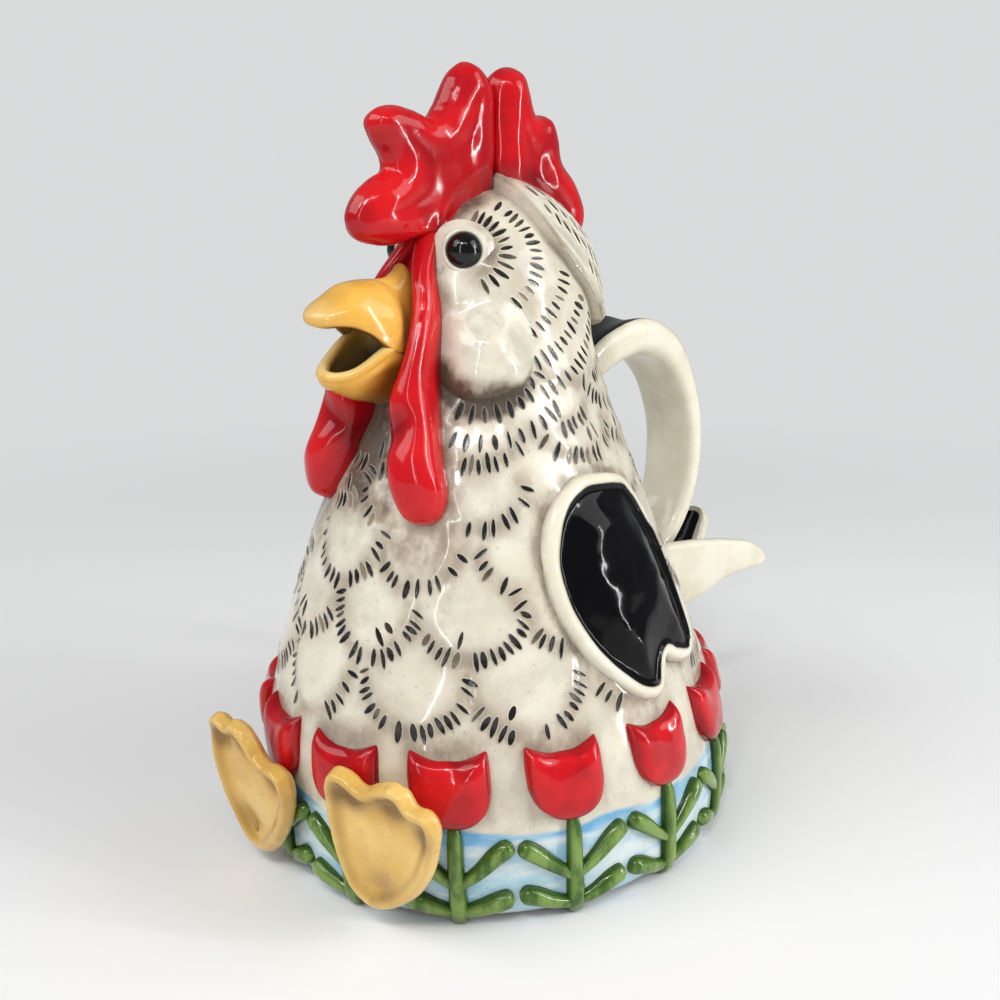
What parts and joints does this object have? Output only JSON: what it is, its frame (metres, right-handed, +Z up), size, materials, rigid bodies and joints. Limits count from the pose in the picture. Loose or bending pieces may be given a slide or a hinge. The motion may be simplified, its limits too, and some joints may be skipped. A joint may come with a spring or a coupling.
{
  "type": "rooster teapot",
  "caption": "Glazed ceramic pot shaped like a sitting rooster, with a beak spout, a lift-off lid at the back of the head and a strap handle that ends in tail feathers.",
  "frame": {"origin": "centre of the flat base, on the plane that stands on the table", "axes": "+Z up, -Y the way the bird faces, +X the bird's left side"},
  "size_m": [0.158, 0.2309, 0.255],
  "materials": {
    "cream_glaze": "gloss",
    "yellow_glaze": "gloss",
    "red_glaze": "gloss",
    "white_glaze": "gloss",
    "black_glaze": "gloss",
    "ochre_glaze": "gloss",
    "green_glaze": "gloss"
  },
  "bodies": {
    "pot": {"body_shell": "cream_glaze", "upper_beak": "yellow_glaze", "lower_beak": "yellow_glaze", "front_comb": "red_glaze", "left_eye_ring": "white_glaze", "right_eye_ring": "white_glaze", "left_eyeball": "black_glaze", "right_eyeball": "black_glaze", "left_cheek": "white_glaze", "right_cheek": "white_glaze", "left_wattle": "red_glaze", "right_wattle": "red_glaze", "left_wing": "black_glaze", "right_wing": "black_glaze", "handle": "white_glaze", "left_tail_feather": "white_glaze", "centre_tail_feather": "white_glaze", "right_tail_feather": "white_glaze", "left_foot": "ochre_glaze", "right_foot": "ochre_glaze", "tulip_head_01": "red_glaze", "tulip_head_02": "red_glaze", "tulip_head_03": "red_glaze", "tulip_head_04": "red_glaze", "tulip_head_05": "red_glaze", "tulip_head_06": "red_glaze", "tulip_head_07": "red_glaze", "tulip_head_08": "red_glaze", "tulip_head_09": "red_glaze", "tulip_head_10": "red_glaze", "tulip_head_11": "red_glaze", "tulip_head_12": "red_glaze", "tulip_head_13": "red_glaze", "tulip_head_14": "red_glaze", "tulip_stem_01": "green_glaze", "tulip_stem_02": "green_glaze", "tulip_stem_03": "green_glaze", "tulip_stem_04": "green_glaze", "tulip_stem_05": "green_glaze", "tulip_stem_06": "green_glaze", "tulip_stem_07": "green_glaze", "tulip_stem_08": "green_glaze", "tulip_stem_09": "green_glaze", "tulip_stem_10": "green_glaze", "tulip_stem_11": "green_glaze", "tulip_stem_12": "green_glaze", "tulip_stem_13": "green_glaze", "tulip_stem_14": "green_glaze"},
    "lid": {"lid_shell": "cream_glaze", "rear_comb": "red_glaze"}
  },
  "joints": [
    {"name": "lid_lift", "type": "slide", "parent": "pot", "child": "lid", "axis": [0, 0.7659, 0.6429], "range_m": [0, 0.06]}
  ]
}
